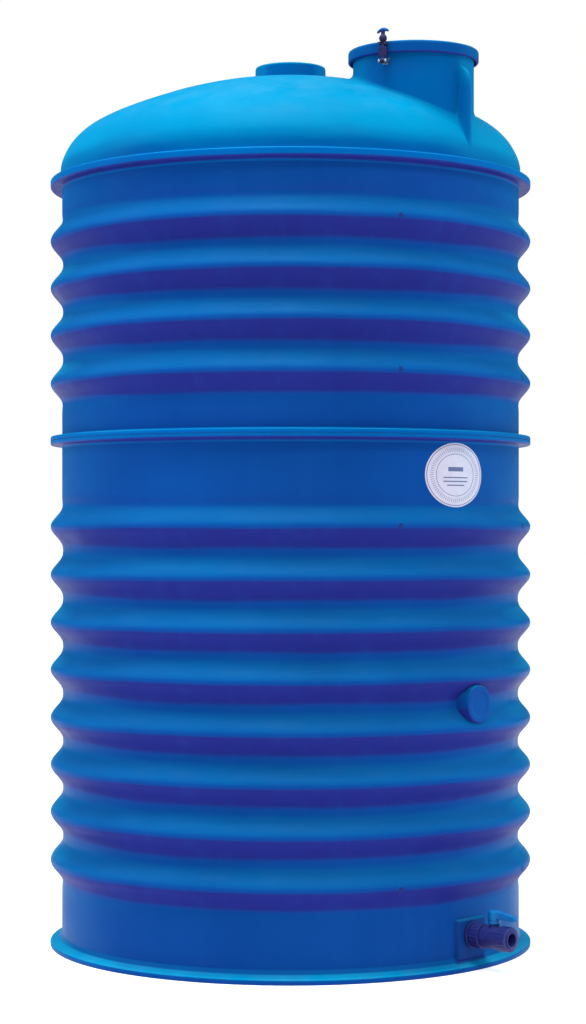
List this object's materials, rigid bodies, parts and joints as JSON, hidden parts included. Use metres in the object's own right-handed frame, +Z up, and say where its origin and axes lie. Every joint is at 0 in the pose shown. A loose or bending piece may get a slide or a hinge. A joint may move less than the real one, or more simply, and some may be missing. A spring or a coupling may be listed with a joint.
{
  "type": "upright ribbed water tank",
  "caption": "Upright moulded plastic cistern: ribbed round shell in two flanged courses, domed roof with an offset latched hatch, blank bosses and a lever ball valve at the foot.",
  "frame": {"origin": "on the tank's axis, on the underside of the floor", "axes": "+Z up along the tank's axis; the hatch, the blank side boss and the outlet face -Y; +X to the right of someone who faces the outlet"},
  "size_m": [1.6, 1.748, 2.94],
  "materials": {
    "blue_shell": "semi-gloss moulded blue polyethylene",
    "blue_lid": "semi-gloss moulded blue polyethylene",
    "blue_handle": "satin moulded blue plastic",
    "dark_valve": "satin dark indigo pressure-pipe plastic",
    "pale_ball": "polished grey plastic",
    "black_rubber": "matt black rubber",
    "black_bracket": "dark moulded plastic",
    "zinc_steel": "zinc-plated steel pins and latch anchor",
    "white_label": "thin white film label"
  },
  "bodies": {
    "tank": {"base_floor": "blue_shell", "base_flange": "blue_shell", "lower_shell_front": "blue_shell", "lower_shell_right": "blue_shell", "lower_shell_back": "blue_shell", "lower_shell_left": "blue_shell", "lower_joint_flange": "blue_shell", "upper_joint_flange": "blue_shell", "upper_shell_front": "blue_shell", "upper_shell_right": "blue_shell", "upper_shell_back": "blue_shell", "upper_shell_left": "blue_shell", "roof_flange": "blue_shell", "roof_front": "blue_shell", "roof_right": "blue_shell", "roof_back": "blue_shell", "roof_left": "blue_shell", "crown_boss": "blue_shell", "hatch_neck": "blue_shell", "neck_gusset": "blue_shell", "side_boss": "blue_shell", "outlet_pad": "blue_shell", "outlet_gasket": "black_rubber", "outlet_fitting": "dark_valve", "outlet_backnut": "dark_valve", "inner_union_nut": "dark_valve", "valve_body": "dark_valve", "outer_union_nut": "dark_valve", "end_connector": "dark_valve", "hinge_bracket": "black_bracket", "hinge_pin": "zinc_steel", "latch_bracket": "zinc_steel", "latch_pin": "zinc_steel", "round_label": "white_label"},
    "lid": {"hatch_lid": "blue_lid", "lid_seal": "black_rubber", "latch_keeper": "black_bracket", "hinge_leaf": "blue_lid"},
    "latch": {"latch_strap": "black_rubber"},
    "valve": {"valve_ball": "pale_ball", "valve_stem": "dark_valve", "valve_handle": "blue_handle"}
  },
  "joints": [
    {"name": "lid_hinge", "type": "hinge", "parent": "tank", "child": "lid", "pos_m": [0.21735, -0.47981, 2.86], "axis": [-0.2419, 0.9703, 0], "range_deg": [0, 105]},
    {"name": "latch_swing", "type": "hinge", "parent": "tank", "child": "latch", "pos_m": [-0.21541, -0.58771, 2.836], "axis": [0.2419, -0.9703, 0], "range_deg": [0, 110]},
    {"name": "valve_turn", "type": "hinge", "parent": "tank", "child": "valve", "pos_m": [0, -0.86, 0.15], "axis": [0, 0, 1], "range_deg": [0, 90]}
  ]
}
